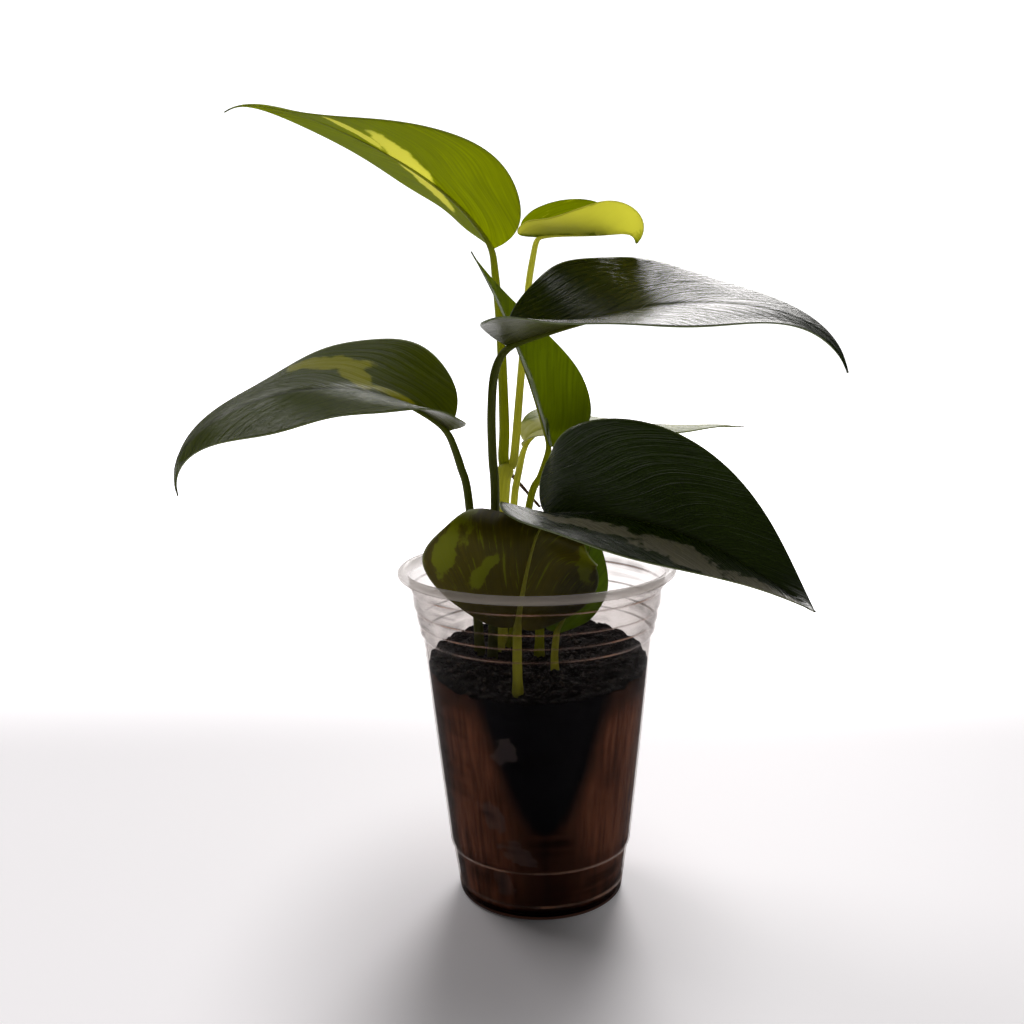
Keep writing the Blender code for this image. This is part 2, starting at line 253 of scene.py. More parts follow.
def light_the_room():
    """A dim sky with three lamps behind the plant. Looked at directly it is white paper."""
    world = bpy.data.worlds.new("studio")
    bpy.context.scene.world = world
    world.use_nodes = True
    tree = world.node_tree
    tree.nodes.clear()
    direction = add_node(tree, "TexCoord").outputs["Generated"]
    parts = axes(tree, direction)
    bearing = maths(tree, "ARCTAN2", parts["X"], parts["Y"])
    strength = ROOM_LIGHT
    for power, bearings, heights in LAMPS.values():
        sideways = span(tree, bearing, *[math.radians(value) for value in bearings])
        shape = times(tree, sideways, span(tree, parts["Z"], *heights))
        strength = maths(tree, "MULTIPLY_ADD", shape, power, strength)
    light = add_node(tree, "Background",
                     {"Color": (1.0, 0.975, 0.965, 1.0), "Strength": strength})
    paper = add_node(tree, "Background",
                     {"Color": (1.0, 1.0, 1.0, 1.0), "Strength": PAPER_LIGHT})
    seen = add_node(tree, "LightPath").outputs["Is Camera Ray"]
    add_node(tree, "OutputWorld", {"Surface": mix_shaders(tree, seen, light, paper).outputs[0]})


light_the_room()
print("lamps:", list(LAMPS))

# %% Floor
FLOOR_SIZE = 6.0
FLOOR_COLOUR = (0.92, 0.90, 0.93)
FLOOR_FILL = 0.34
SHADE_PLACE = (-0.018, -0.050, 0.0)
SHADE_SQUEEZE = (1.5, 1.0, 1.0)
SHADE_REACH = (0.015, 0.15)
GLOW_START = 0.12
GLOW_FULL = 0.40


def lay_floor():
    """A pale floor that glows a little, but not in the cup's shade, and brightly at the back."""
    bm = bmesh.new()
    bmesh.ops.create_grid(bm, x_segments=8, y_segments=8, size=FLOOR_SIZE / 2)
    mesh = bpy.data.meshes.new("floor")
    bm.to_mesh(mesh)
    bm.free()
    floor = bpy.data.objects.new("floor", mesh)
    bpy.context.scene.collection.objects.link(floor)
    material, tree = empty_material("pale floor")
    place = object_place(tree)
    glow = remap(tree, axes(tree, place)["Y"], GLOW_START, GLOW_FULL)
    away = vector_maths(tree, "SUBTRACT", place, SHADE_PLACE).outputs[0]
    away = vector_maths(tree, "MULTIPLY", away, SHADE_SQUEEZE).outputs[0]
    reach = vector_maths(tree, "LENGTH", away).outputs["Value"]
    fill = times(tree, remap(tree, reach, *SHADE_REACH), FLOOR_FILL)
    shader = add_node(tree, "BsdfPrincipled",
                      {"Base Color": (*FLOOR_COLOUR, 1.0), "Roughness": 0.6,
                       "Emission Color": (1.0, 0.985, 1.0, 1.0),
                       "Emission Strength": maths(tree, "ADD", glow, fill)})
    finish_material(tree, shader)
    mesh.materials.append(material)


lay_floor()
print("floor", FLOOR_SIZE, "m across")

# %% [markdown]
# ## Shared shape helpers
#
# Blades, stalks and the soil's top are all made in the same way: a flat grid is laid out first and
# every point of it is then moved to its place. A grid keeps rows and columns, so the same points
# carry a layout of the flat shape, which the materials use to draw veins along the surface.

# %% Grid helpers
def bent_grid(columns, rows, place, layout):
    """A grid moved to place(s, t), with a flat layout(s, t): s is -1 to 1 and t is 0 to 1."""
    bm = bmesh.new()
    bmesh.ops.create_grid(bm, x_segments=columns, y_segments=rows, size=1.0)
    bm.verts.index_update()
    s = np.array([vert.co.x for vert in bm.verts])
    t = np.array([(vert.co.y + 1) / 2 for vert in bm.verts])
    laid_out = layout(s, t)
    flat = bm.loops.layers.uv.new("flat")
    spot = bm.loops.layers.uv.new("grid")
    for face in bm.faces:
        for loop in face.loops:
            k = loop.vert.index
            loop[flat].uv = laid_out[k]
            loop[spot].uv = ((s[k] + 1) / 2, t[k])
    for vert, point in zip(bm.verts, place(s, t)):
        vert.co = Vector(point) * MM
    return bm


def to_object(name, bm, materials, nodes=()):
    """Finish a bmesh as a smooth piece of the plant that stands for some nodes of the frame."""
    mesh = bpy.data.meshes.new(name)
    bm.to_mesh(mesh)
    bm.free()
    mesh.shade_smooth()
    piece = bpy.data.objects.new(name, mesh)
    bpy.context.scene.collection.objects.link(piece)
    for material in materials:
        mesh.materials.append(material)
    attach(piece, BODY)
    if nodes:
        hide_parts(*nodes)
    return piece


def bezier(points, t):
    """The points at each t of the Bezier curve that the given points span."""
    t = np.asarray(t)[:, None]
    level = [np.array(point, dtype=float) + 0 * t for point in points]
    while len(level) > 1:
        level = [a + (b - a) * t for a, b in zip(level, level[1:])]
    return level[0]


def smooth_path(points, count):
    """Points spread evenly along a Catmull-Rom curve through the given ones."""
    knots = [np.array(point, dtype=float) for point in points]
    knots = [2 * knots[0] - knots[1]] + knots + [2 * knots[-1] - knots[-2]]
    fine = []
    for a, b, c, d in zip(knots, knots[1:], knots[2:], knots[3:]):
        for t in np.linspace(0.0, 1.0, 16, endpoint=False):
            fine.append(0.5 * (2 * b + (c - a) * t + (2 * a - 5 * b + 4 * c - d) * t ** 2
                               + (3 * b - a - 3 * c + d) * t ** 3))
    fine = np.array(fine + [knots[-2]])
    along = np.concatenate([[0.0], np.cumsum(np.linalg.norm(np.diff(fine, axis=0), axis=1))])
    stations = np.linspace(0.0, along[-1], count)
    path = np.stack([np.interp(stations, along, fine[:, k]) for k in range(3)], axis=1)
    return path, stations


def unit(vectors):
    """Vectors scaled to length one."""
    return vectors / np.linalg.norm(vectors, axis=-1, keepdims=True)


def dot(first, second):
    """Dot products of rows of vectors, as a column."""
    return np.sum(first * second, axis=-1, keepdims=True)


print("shape helpers ready")

# %% [markdown]
# ## The leaves' design
#
# Each blade is described as a gardener would press it flat and then bend it again. Its midrib is a
# smooth curve in space. The upper face turns along the way. Each half is folded up from the midrib
# and curled towards its margin. The right half is the right one as seen from the stalk. All the
# blades share one heart-shaped outline, but for the youngest, which is blunter and has its own.

# %% Leaf design values
OUTLINE_LOBE = [(0.0, 0.0), (-2.2, 0.25), (-0.6, 1.15)]
OUTLINE_BLADE = [(0.40, 1.45), (0.62, 0.55), (0.80, 0.10), (1.0, 0.0)]
ROW_CROWDING = 1.3
LEAST_CURL = 0.01
LEAVES = {
    "top_left": dict(
        midrib=[(-13, 25, 223), (-28, 17, 250), (-60, 17, 260), (-87, 4, 276.5), (-98.5, 0, 266.5)],
        widths=(32.5, 32.5), lobe=0.0, faces=[(0.54, 0.46, 0.21), (0.27, 0.12, 0.83)],
        right=(24, 12, -13, 8), left=(11, -6, -23, 8)),
    "top_small": dict(
        midrib=[(1.5, 26, 227), (14, 22, 229), (27, 15, 223), (34, 12, 231), (35.3, 10, 223)],
        widths=(13.7, 11.5), lobe=0.15, faces=[(-0.05, -0.40, 0.81), (0.2, -0.5, 0.8)],
        right=(50, 28, 104, 0), left=(66, 66, -70, 5),
        blade=[(0.40, 1.10), (0.75, 1.35), (0.86, 1.10), (1.0, 0.0)]),
    "right": dict(
        midrib=[(-9, -7, 191), (12, -21, 197), (42, -29, 209), (89, -33, 207.5), (93.5, -42, 182)],
        widths=(37.5, 37.5), lobe=0.01, faces=[(0, -0.37, 0.92), (0.15, -0.25, 0.84)],
        right=(42, -8, -3, 0), left=(36, -4, -8, 0)),
    "upright": dict(
        midrib=[(5.5, 6, 156), (4.5, 12, 157), (-1.5, 17, 187.5), (-20.5, 20, 222)],
        widths=(20, 16), lobe=0.08, faces=[(0.31, -0.44, 0.54), (0.57, -0.19, 0.35)],
        right=(53, 15, 1, 3), left=(56, 24, 24, 9)),
    "left": dict(
        midrib=[(-28, -4, 163), (-50, -18, 185), (-84, -19, 183.5), (-120, -29, 169),
                (-116, -20, 144.5)],
        widths=(35.5, 35.5), lobe=0.0, faces=[(0.03, -0.31, 0.94), (-0.21, -0.33, 0.81)],
        right=(44, -26, -8, 0), left=(30, -4, -27, 0)),
    "front_right": dict(
        midrib=[(3, -10, 135.5), (16, -27, 137.5), (50, -33, 145), (81, -41, 108.5),
                (80, -65, 115.5)],
        widths=(34.5, 34.5), lobe=0.05, faces=[(0.12, -0.62, 0.72), (0.41, -0.58, 0.58)],
        right=(41, 16, 8, 0), left=(54, 31, 10, 0)),
    "cup_front": dict(
        midrib=[(-6.5, -30, 102.5), (0, -31, 147.5), (6, -27, 132), (3, -13, 127)],
        widths=(38, 35), lobe=0.065, faces=[(-0.05, 0.41, 0.08), (-0.25, -0.2, -0.67)],
        right=(37, 11, -9, 17), left=(35, 4, -14, 0)),
    "back_right": dict(
        midrib=[(-3.5, 23, 153), (-5, 20, 166), (26, 33, 159.5), (77.5, 43, 158)],
        widths=(21, 21), lobe=-0.05, faces=[(0.09, 0, 0.93), (0.09, 0, 1)],
        right=(2, -9, -10, 0), left=(34, -20, 0, 0)),
    "cup_back": dict(
        midrib=[(6, -12, 96), (20, -12, 118), (19, -11, 138), (18, -8, 126)],
        widths=(13, 13), lobe=0.03, faces=[(-0.3, 0.42, 0.24), (0.15, 1.07, -0.07)],
        right=(0, 5, 10, 0), left=(10, 3, 10, 0)),
}
print(len(LEAVES), "leaves")

# %% The bend of a blade
class BentBlade:
    """A flat half-leaf layout and the bend that gives the blade its shape in space."""

    def __init__(self, leaf):
        self.leaf = leaf
        self.points = bezier(leaf["midrib"], np.linspace(0, 1, 80))
        steps = np.linalg.norm(np.diff(self.points, axis=0), axis=1)
        self.along = np.concatenate([[0.0], np.cumsum(steps)])
        self.length = self.along[-1]
        self.tangents = unit(np.gradient(self.points, axis=0))
        self.hull = [(x * leaf["lobe"], y) for x, y in OUTLINE_LOBE] + leaf.get("blade", OUTLINE_BLADE)

    def flat_point(self, s, t):
        """Millimetres along the midrib and out from it, of row t and column s."""
        edge = bezier(self.hull, t)
        rib = t ** ROW_CROWDING
        x = rib + (edge[:, 0] - rib) * np.abs(s)
        return x * self.length, edge[:, 1] * np.abs(s) * self.half_width(s)

    def half_width(self, s):
        """Width at the stalk's end of the half that a column belongs to."""
        right, left = self.leaf["widths"]
        return np.where(s >= 0, right, left)

    def midrib_frame(self, distance):
        """Points, directions, upper faces and shares of the midrib at distances along it."""
        held = np.clip(distance, 0.0, self.length)
        base = np.stack([np.interp(held, self.along, self.points[:, k]) for k in range(3)], axis=1)
        ahead = unit(np.stack([np.interp(held, self.along, self.tangents[:, k])
                               for k in range(3)], axis=1))
        base = base + ahead * (distance - held)[:, None]
        share = held / self.length
        first, last = (np.array(face, dtype=float) for face in self.leaf["faces"])
        face = first + (last - first) * share[:, None]
        return base, ahead, unit(face - ahead * dot(face, ahead)), share

    def place(self, x, y, s, lift):
        """Points in space of flat points of column s, lifted off the upper face."""
        base, ahead, face, share = self.midrib_frame(x)
        side = np.where(s >= 0, 1.0, -1.0)
        sideways = np.cross(ahead, face) * side[:, None]
        right, left = (np.array(self.leaf[half], dtype=float) for half in ("right", "left"))
        bends = np.radians(np.where(s[:, None] >= 0, right, left))
        fold = (bends[:, 0] * (1 - share) ** 2 + 2 * bends[:, 1] * share * (1 - share)
                + bends[:, 2] * share ** 2)
        bend = (bends[:, 3] + math.radians(LEAST_CURL)) / self.half_width(s)
        angle = fold + bend * y
        out = (np.sin(angle) - np.sin(fold)) / bend
        up = (np.cos(fold) - np.cos(angle)) / bend
        out = out - lift * np.sin(angle)
        up = up + lift * np.cos(angle)
        return base + sideways * out[:, None] + face * up[:, None]


BLADES = {name: BentBlade(leaf) for name, leaf in LEAVES.items()}
for name, blade in BLADES.items():
    print(f"{name}: midrib {blade.length:.0f} mm")

# %% [markdown]
# ## The blade's surface
#
# A pothos blade is not a smooth sheet. The midrib lies in a narrow groove, side veins sweep out
# from it towards the tip and stand in shallow furrows, the skin between them swells a little, and
# the margin waves. The larger of these are real heights in the mesh. The fine wrinkles along the
# veins are too small for it and come from the material.

# %% Relief of a blade
GROOVE_DEPTH = 0.35
GROOVE_WIDTH = 0.9
VEIN_SWEEP = 1.9
VEIN_CURVE = 0.012
# Veins wander from their sweep by this share of their spacing, over these lengths in millimetres.
VEIN_WANDER = 0.35
WANDER_ALONG = 9.0
WANDER_OUT = 5.0
# Each leaf: spacing of the side veins, depth of their furrows, height and length of the margin's
# waves, all in millimetres.
RELIEF = {
    "top_left": (7.0, 0.16, 0.35, 34.0), "top_small": (5.0, 0.10, 0.20, 20.0),
    "right": (7.5, 0.22, 0.45, 31.0), "upright": (5.5, 0.16, 0.25, 26.0),
    "left": (8.0, 0.26, 0.50, 29.0), "front_right": (8.0, 0.20, 0.35, 36.0),
    "cup_front": (7.0, 0.22, 0.40, 27.0), "back_right": (5.5, 0.12, 0.25, 24.0),
    "cup_back": (4.5, 0.15, 0.30, 13.0),
}


def vein_phase(x, y, spacing):
    """Which side vein a flat point lies on: whole numbers are veins."""
    wander = VEIN_WANDER * np.sin(x / WANDER_ALONG + y / WANDER_OUT)
    return (x - VEIN_SWEEP * y - VEIN_CURVE * y * y) / spacing + wander


def relief(name, x, y, v):
    """Height of the upper face over the smooth blade at flat points."""
    spacing, furrow, wave, wave_length = RELIEF[name]
    quilting = (0.5 + 0.5 * np.cos(math.tau * vein_phase(x, y, spacing))) ** 2
    away = np.minimum(y / 6.0, 1.0) * (1 - v ** 6)
    groove = GROOVE_DEPTH * np.exp(-(y / GROOVE_WIDTH) ** 2)
    margin = wave * v ** 3 * np.sin(math.tau * x / wave_length + y / 7.0)
    return margin - furrow * away * (quilting - 0.4) - groove


print("relief for", len(RELIEF), "blades")

# %% [markdown]
# ## The blade's skin
#
# Three effects are shared by all the blades, so each is a node group that is built once. The first
# draws side veins and the fine wrinkles between them, from the flat layout. The second scatters
# the yellow flecks that golden pothos is named for, which follow the veins. The third is the ragged
# edge of one larger patch, cream on most leaves and a painted sheen on the front right one, and
# serves for the smudges on the soil too.

# %% Node groups for blades
VEIN_INPUTS = [("Flat", "Vector", None), ("Spacing", "Float", 7.0), ("Seed", "Float", 0.0)]


def vein_layout(group, start, across_scale, along_scale):
    """The vein phase, the distance from the midrib and a vector that is stretched along the veins."""
    parts = axes(group, start.outputs["Flat"])
    spacing = start.outputs["Spacing"]
    x = times(group, parts["X"], 100.0)
    y = times(group, maths(group, "ABSOLUTE", parts["Y"]), 100.0)
    swept = maths(group, "MULTIPLY_ADD", y, -VEIN_SWEEP, x)
    curved = maths(group, "MULTIPLY_ADD", times(group, y, y), -VEIN_CURVE, swept)
    turn = maths(group, "MULTIPLY_ADD", y, 1 / WANDER_OUT, maths(group, "DIVIDE", x, WANDER_ALONG))
    wander = maths(group, "SINE", turn)
    phase = maths(group, "MULTIPLY_ADD", wander, VEIN_WANDER, maths(group, "DIVIDE", curved, spacing))
    across = times(group, times(group, phase, spacing), across_scale)
    vector = add_node(group, "CombineXYZ", {"X": across, "Y": times(group, y, along_scale),
                                            "Z": start.outputs["Seed"]})
    return phase, y, vector.outputs[0]


def make_vein_group():
    """Veins, fine streaks along them and the height of both."""
    group, start, end = new_group("leaf veins", VEIN_INPUTS, [
        ("Vein", "Float"), ("Streak", "Float"), ("Height", "Float")])
    phase, y, stretched = vein_layout(group, start, 0.55, 0.10)
    wave = maths(group, "COSINE", times(group, phase, math.tau))
    line = maths(group, "POWER", maths(group, "MULTIPLY_ADD", wave, 0.5, 0.5), 30.0)
    vein = times(group, line, remap(group, y, 0.5, 3.0))
    streak = noise(group, stretched, 1.0, detail=3.0, roughness=0.6)
    height = maths(group, "MULTIPLY_ADD", vein, -0.20, streak)
    group.links.new(vein, end.inputs["Vein"])
    group.links.new(streak, end.inputs["Streak"])
    group.links.new(height, end.inputs["Height"])
    return group


def make_fleck_group():
    """Scattered flecks that are drawn out along the veins."""
    group, start, end = new_group("yellow flecks", VEIN_INPUTS + [("Level", "Float", 0.7)],
                                  [("Mask", "Float")])
    _, _, stretched = vein_layout(group, start, 0.42, 0.20)
    value = noise(group, stretched, 1.0, detail=5.0, roughness=0.66)
    over = maths(group, "SUBTRACT", value, start.outputs["Level"])
    group.links.new(remap(group, over, -0.02, 0.05), end.inputs["Mask"])
    return group


def make_patch_group():
    """The ragged inside of a unit circle, for a patch that a Mapping node places."""
    group, start, end = new_group(
        "cream patch",
        [("Placed", "Vector", None), ("Flat", "Vector", None), ("Ragged", "Float", 0.8)],
        [("Mask", "Float")])
    reach = vector_maths(group, "LENGTH", start.outputs["Placed"]).outputs["Value"]
    grain = noise(group, start.outputs["Flat"], 14.0, detail=4.0, roughness=0.6)
    uneven = maths(group, "SUBTRACT", grain, 0.5)
    edge = maths(group, "MULTIPLY_ADD", uneven, start.outputs["Ragged"], reach)
    group.links.new(remap(group, edge, 1.05, 0.80), end.inputs["Mask"])
    return group


def patch_mask(tree, flat, x, y, half_length, half_width, turn, ragged):
    """A ragged ellipse on a flat layout, from its place and half sizes in mm and turn in degrees."""
    placed = add_node(tree, "Mapping",
                      {"Vector": flat, "Location": (x / 100, y / 100, 0),
                       "Rotation": (0, 0, math.radians(turn)),
                       "Scale": (half_length / 100, half_width / 100, 1)}, vector_type="TEXTURE")
    return use_group(tree, PATCH, Placed=placed.outputs[0], Flat=flat, Ragged=ragged)["Mask"]


VEINS = make_vein_group()
FLECKS = make_fleck_group()
PATCH = make_patch_group()
print("groups:", [group.name for group in (VEINS, FLECKS, PATCH)])

# %% [markdown]
# Each leaf has a look of its own: old blades are nearly black and glossy, young ones are thin and
# glow yellow where light comes through. A blade is a glossy skin mixed with a share of light that
# passes through it, so its two sides are two materials with the same pattern: the upper one darker
# and glossier, the underside paler and matt.

# %% Leaf looks
# Each leaf: the colours of its two sides, of the light through it and of its pale patches, which are
# cream on most leaves and a painted sheen on the front right one, how dark its mottling goes, its
# share of passing light, the level above which it has flecks, its gloss and wrinkles, and its
# patches: place and half sizes in millimetres, turn in degrees, raggedness. The base of one half may
# be dull, which fades out between two distances in millimetres.
THIN_SKIN = dict(rough=0.45, wrinkle=0.35, shine=0.25)
LEAF_LOOKS = {
    "top_left": dict(
        THIN_SKIN, upper=(0.10, 0.17, 0.006), lower=(0.11, 0.15, 0.002), glow=(0.58, 0.64, 0.003),
        cream_and_sheen=(0.62, 0.58, 0.14), cream_and_sheen_glow=(1.0, 0.99, 0.30), deep=0.62, through=0.85,
        flecks=0.76, patches=[(37, 1, 25, 5.5, -33, 0.9), (62, -7, 14, 2.4, -25, 1.0)]),
    "top_small": dict(
        THIN_SKIN, upper=(0.05, 0.07, 0.003), lower=(0.22, 0.25, 0.01), glow=(0.46, 0.52, 0.01),
        cream_and_sheen=(0.56, 0.54, 0.11), cream_and_sheen_glow=(0.90, 0.89, 0.24), deep=0.8, through=0.84,
        flecks=0.60, patches=[(12, 9, 22, 9.5, 0, 0.7), (30, 7, 12, 9, 0, 1.2)]),
    "right": dict(
        upper=(0.020, 0.036, 0.004), lower=(0.085, 0.095, 0.016), glow=(0.22, 0.32, 0.010),
        cream_and_sheen=(0.10, 0.11, 0.02), cream_and_sheen_glow=(0.3, 0.3, 0.03), deep=0.6, through=0.20,
        flecks=0.95, rough=0.22, wrinkle=0.75, shine=0.5),
    "upright": dict(
        upper=(0.040, 0.070, 0.006), lower=(0.06, 0.10, 0.02), glow=(0.68, 0.80, 0.02),
        cream_and_sheen=(0.20, 0.22, 0.03), cream_and_sheen_glow=(0.6, 0.6, 0.06), deep=0.6, through=0.44,
        flecks=0.80, rough=0.34, wrinkle=0.35, shine=0.35),
    "left": dict(
        upper=(0.018, 0.034, 0.001), lower=(0.085, 0.085, 0.036), glow=(0.46, 0.52, 0.002),
        cream_and_sheen=(0.105, 0.105, 0.005), cream_and_sheen_glow=(0.85, 0.84, 0.06), deep=0.6, through=0.38,
        flecks=0.90, rough=0.19, wrinkle=0.95, shine=0.36, dull=(62, 38),
        patches=[(43, 19, 15, 5.0, 20, 1.3), (35, 9, 9, 4.5, 60, 1.2), (23, 2, 9, 1.6, 10, 0.9)]),
    "front_right": dict(
        upper=(0.018, 0.032, 0.003), lower=(0.04, 0.055, 0.012), glow=(0.30, 0.40, 0.003),
        cream_and_sheen=(0.40, 0.37, 0.29), cream_and_sheen_glow=(0.5, 0.5, 0.20), deep=0.6, through=0.20,
        flecks=0.80, rough=0.26, wrinkle=0.60, shine=0.5,
        # Its pale patches along the near half are a painted sheen.
        patches=[(24, 14, 17, 5.0, 6, 2.2), (54, 14, 20, 6.5, -4, 2.0), (84, 8, 20, 5.0, -14, 1.8)]),
    "cup_front": dict(
        upper=(0.05, 0.06, 0.008), lower=(0.060, 0.056, 0.005), glow=(0.44, 0.38, 0.006),
        cream_and_sheen=(0.13, 0.14, 0.005), cream_and_sheen_glow=(0.50, 0.53, 0.01), deep=0.45, through=0.44,
        flecks=0.59, rough=0.42, wrinkle=0.35, shine=0.25,
        patches=[(32, 27, 12, 4.0, 30, 2.4), (18, 27, 10, 3.5, -10, 2.4),
                 (14, 14, 8, 2.5, -30, 2.4), (24, -22, 12, 3.5, 30, 2.4)]),
    "back_right": dict(
        upper=(0.22, 0.26, 0.06), lower=(0.030, 0.050, 0.008), glow=(0.66, 0.76, 0.10),
        cream_and_sheen=(0.5, 0.5, 0.2), cream_and_sheen_glow=(0.9, 0.9, 0.4), deep=0.7, through=0.40,
        flecks=0.56, rough=0.38, wrinkle=0.35, shine=0.35, patches=[(10, 3, 16, 12, 0, 0.9)]),
    "cup_back": dict(
        THIN_SKIN, upper=(0.07, 0.11, 0.006), lower=(0.09, 0.13, 0.006), glow=(0.40, 0.54, 0.010),
        cream_and_sheen=(0.20, 0.22, 0.03), cream_and_sheen_glow=(0.6, 0.65, 0.06), deep=0.7, through=0.48,
        flecks=0.68),
}
for seed, look in enumerate(LEAF_LOOKS.values(), start=1):
    look["seed"] = float(seed)
MARGIN_COLOUR = (0.30, 0.36, 0.16)
MARGIN_BAND = (0.975, 0.995)
MARGIN_SHARE = 0.7
VEIN_SHARE = 0.25
VEIN_PALENESS = 1.9
VEIN_SHADE = 0.35
STREAK_GLOW = (0.45, 1.25)
DULL_ROUGHNESS = 0.45
UNDERSIDE_ROUGHNESS = 0.12
SKIN_BUMP = 0.0006


def scaled(colour, factor):
    """A colour made darker or brighter."""
    return tuple(channel * factor for channel in colour)


def cream_and_sheen_mask(tree, flat, look, spacing):
    """Flecks and patches together."""
    mask = use_group(tree, FLECKS, Flat=flat, Spacing=spacing, Seed=look["seed"],
                     Level=look["flecks"])["Mask"]
    for patch in look.get("patches", ()):
        mask = maths(tree, "MAXIMUM", mask, patch_mask(tree, flat, *patch))
    return mask


def dull_base(tree, flat, start, end):
    """Extra roughness of the right half's base, which fades out between two distances."""
    parts = axes(tree, flat)
    near_base = remap(tree, parts["X"], start / 100, end / 100, 0.0, DULL_ROUGHNESS)
    return times(tree, near_base, remap(tree, parts["Y"], 0.01, 0.06))


def blade_material(name, look, underside):
    """One side of a blade: patterned skin, mixed with the light that comes through it."""
    label = "underside" if underside else "upper side"
    material, tree = empty_material(f"{name} {label}")
    spacing = RELIEF[name][0]
    flat = add_node(tree, "UVMap", uv_map="flat").outputs[0]
    spot = add_node(tree, "UVMap", uv_map="grid").outputs[0]
    veins = use_group(tree, VEINS, Flat=flat, Spacing=spacing, Seed=look["seed"])
    cream_and_sheen = cream_and_sheen_mask(tree, flat, look, spacing)
    body = look["lower"] if underside else look["upper"]
    mottle = noise(tree, flat, 5.0, detail=3.0)
    skin = blend(tree, remap(tree, mottle, 0.35, 0.70), scaled(body, look["deep"]), body)
    skin = blend(tree, times(tree, veins["Vein"], VEIN_SHARE), skin, scaled(body, VEIN_PALENESS))
    # On the front right leaf the patches blended in here are a painted sheen.
    skin = blend(tree, cream_and_sheen, skin, look["cream_and_sheen"])
    dim, bright = (scaled(look["glow"], factor) for factor in STREAK_GLOW)
    glow = blend(tree, veins["Streak"], dim, bright)
    glow = blend(tree, times(tree, veins["Vein"], VEIN_SHADE), glow, scaled(look["glow"], 0.5))
    glow = blend(tree, cream_and_sheen, glow, look["cream_and_sheen_glow"])
    from_middle = maths(tree, "MULTIPLY_ADD", axes(tree, spot)["X"], 2.0, -1.0)
    margin = remap(tree, maths(tree, "ABSOLUTE", from_middle), *MARGIN_BAND, 0.0, MARGIN_SHARE)
    skin = blend(tree, margin, skin, MARGIN_COLOUR)
    rough = look["rough"] + underside * UNDERSIDE_ROUGHNESS
    roughness = remap(tree, veins["Streak"], 0.2, 0.8, rough - 0.05, rough + 0.08)
    if "dull" in look:
        roughness = maths(tree, "ADD", roughness, dull_base(tree, flat, *look["dull"]))
    normal = bumps(tree, look["wrinkle"], SKIN_BUMP, veins["Height"])
    shader = skin_shader(tree, skin, roughness, normal, look["shine"])
    passing = add_node(tree, "BsdfTranslucent", {"Color": glow})
    finish_material(tree, mix_shaders(tree, look["through"], shader, passing))
    return material


print(len(LEAF_LOOKS), "looks")

# %% [markdown]
# Now the blades themselves. A grid is laid over each blade, bent into place and given its
# thickness by a Solidify modifier, which also gives the far side the second material.

# %% Blades
BLADE_THICKNESS = 0.45
BLADE_COLUMNS = 52
BLADE_ROWS = 76


def make_blade(name):
    """One leaf blade in its place."""
    blade = BLADES[name]

    def layout(s, t):
        x, y = blade.flat_point(s, t)
        return np.stack([x, np.where(s >= 0, y, -y)], axis=1) / 100

    def place(s, t):
        x, y = blade.flat_point(s, t)
        return blade.place(x, y, s, relief(name, x, y, np.abs(s)))

    bm = bent_grid(BLADE_COLUMNS, BLADE_ROWS, place, layout)
    bmesh.ops.remove_doubles(bm, verts=bm.verts, dist=0.02 * MM)
    look = LEAF_LOOKS[name]
    sides = [blade_material(name, look, False), blade_material(name, look, True)]
    piece = to_object("blade_" + name, bm, sides, ["leaf_" + name])
    thickness = piece.modifiers.new("thickness", "SOLIDIFY")
    thickness.thickness = BLADE_THICKNESS * MM
    thickness.offset = 0.0
    thickness.material_offset = 1
    return piece


for name in LEAVES:
    print(name, len(make_blade(name).data.polygons), "faces before thickness")

# %% [markdown]
# ## Stalks
#
# A leaf's stalk does not stop at the blade. It runs on under it as the midrib, which stands out as
# a ridge and thins away towards the tip. So each stalk and its midrib are one tapering tube here.
# A tube is a grid too: rolled round the path, with its seam merged and its ends filled.

# %% Stalk design values
SOIL_LEVEL = 83.0
SOIL_SLOPE = 0.125
SOIL_MOUND = 2.0
SOIL_MOUND_RADIUS = 36.0
SOIL_LUMPS = [(0.35, 0.55, 0.48, 1.0), (0.35, 0.55, -0.48, 1.0), (0.4, -0.4, 0.9, 0.0)]
STALK_DEPTH = 7.0
NODE_POINT = (-9.5, 2.5, 151)
# Each leaf stalk: its place in the soil, the points that it passes and its radii at both ends.
PETIOLES = {
    "top_left": dict(foot=None, through=[(-10.2, 3.4, 149), (-10.7, 4.5, 153), (-10.3, 8.5, 164),
                                         (-11.4, 23, 195)], radii=(1.9, 1.3)),
    "top_small": dict(foot=None, through=[(-8.2, 3.4, 149), (-6.9, 4.6, 153.5), (-5, 15, 173),
                                          (-3, 26, 193), (-1.2, 28, 211)], radii=(1.5, 1.1)),
    "right": dict(foot=(-15.5, -4.5), through=[(-13.6, -3.5, 137.5), (-14.1, -4, 154),
                                               (-14.1, -4.5, 169), (-12.6, -6, 183)],
                  radii=(1.7, 1.4)),
    "upright": dict(foot=(-9.3, 5.8), through=[(-2.3, 4.2, 135), (2, 4.5, 146)], radii=(1.6, 1.2)),
    "left": dict(foot=(-20, 0), through=[(-22.3, -3, 137), (-25, -3.5, 151)], radii=(1.7, 1.3)),
    "front_right": dict(foot=(0.5, -3), through=[(1.5, -8, 112), (2.6, -9.5, 127)],
                        radii=(1.7, 1.3)),
    "cup_front": dict(foot=(-6.6, -30), through=[(-6.6, -31, 92)], radii=(1.7, 1.4)),
    "back_right": dict(foot=(-12.3, 10.6), through=[(-7.6, 9.5, 134.5), (-6.4, 11, 143)],
                       radii=(1.5, 1.2)),
    "cup_back": dict(foot=(5.7, -14), through=[(5.6, -14.2, 88)], radii=(1.4, 1.1)),
}


